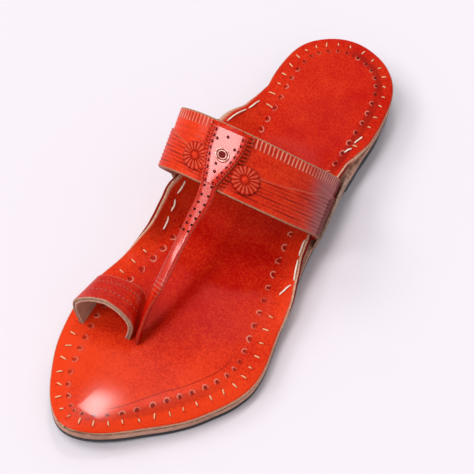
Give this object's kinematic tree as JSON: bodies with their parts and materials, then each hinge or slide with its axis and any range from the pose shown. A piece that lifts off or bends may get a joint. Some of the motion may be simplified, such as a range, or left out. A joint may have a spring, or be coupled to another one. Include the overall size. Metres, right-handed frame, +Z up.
{
  "type": "kolhapuri sandal",
  "caption": "Flat leather sandal for the left foot with a wide instep strap, a narrow thong down to a toe loop, a leaf ornament and up-turned side ears.",
  "frame": {"origin": "middle of the bounding box, on the floor plane under the sole", "axes": "+Z up, +Y from the heel towards the toe, +X towards the big toe side"},
  "size_m": [0.1016, 0.2638, 0.0697],
  "materials": {
    "black_rubber": "matt black rubber sheet",
    "raw_leather": "raw tan leather, cut edges unfinished",
    "red_leather": "red-orange dyed leather with a waxed gloss",
    "brass": "dull aged brass"
  },
  "bodies": {
    "root": {"outsole": "black_rubber", "heel": "black_rubber", "midsole": "raw_leather", "insole": "red_leather", "upper": "red_leather", "toe_loop": "red_leather", "ear_lateral": "raw_leather", "ear_medial": "raw_leather", "rosette_lateral": "red_leather", "rosette_medial": "red_leather", "eyelet": "brass"}
  },
  "joints": []
}
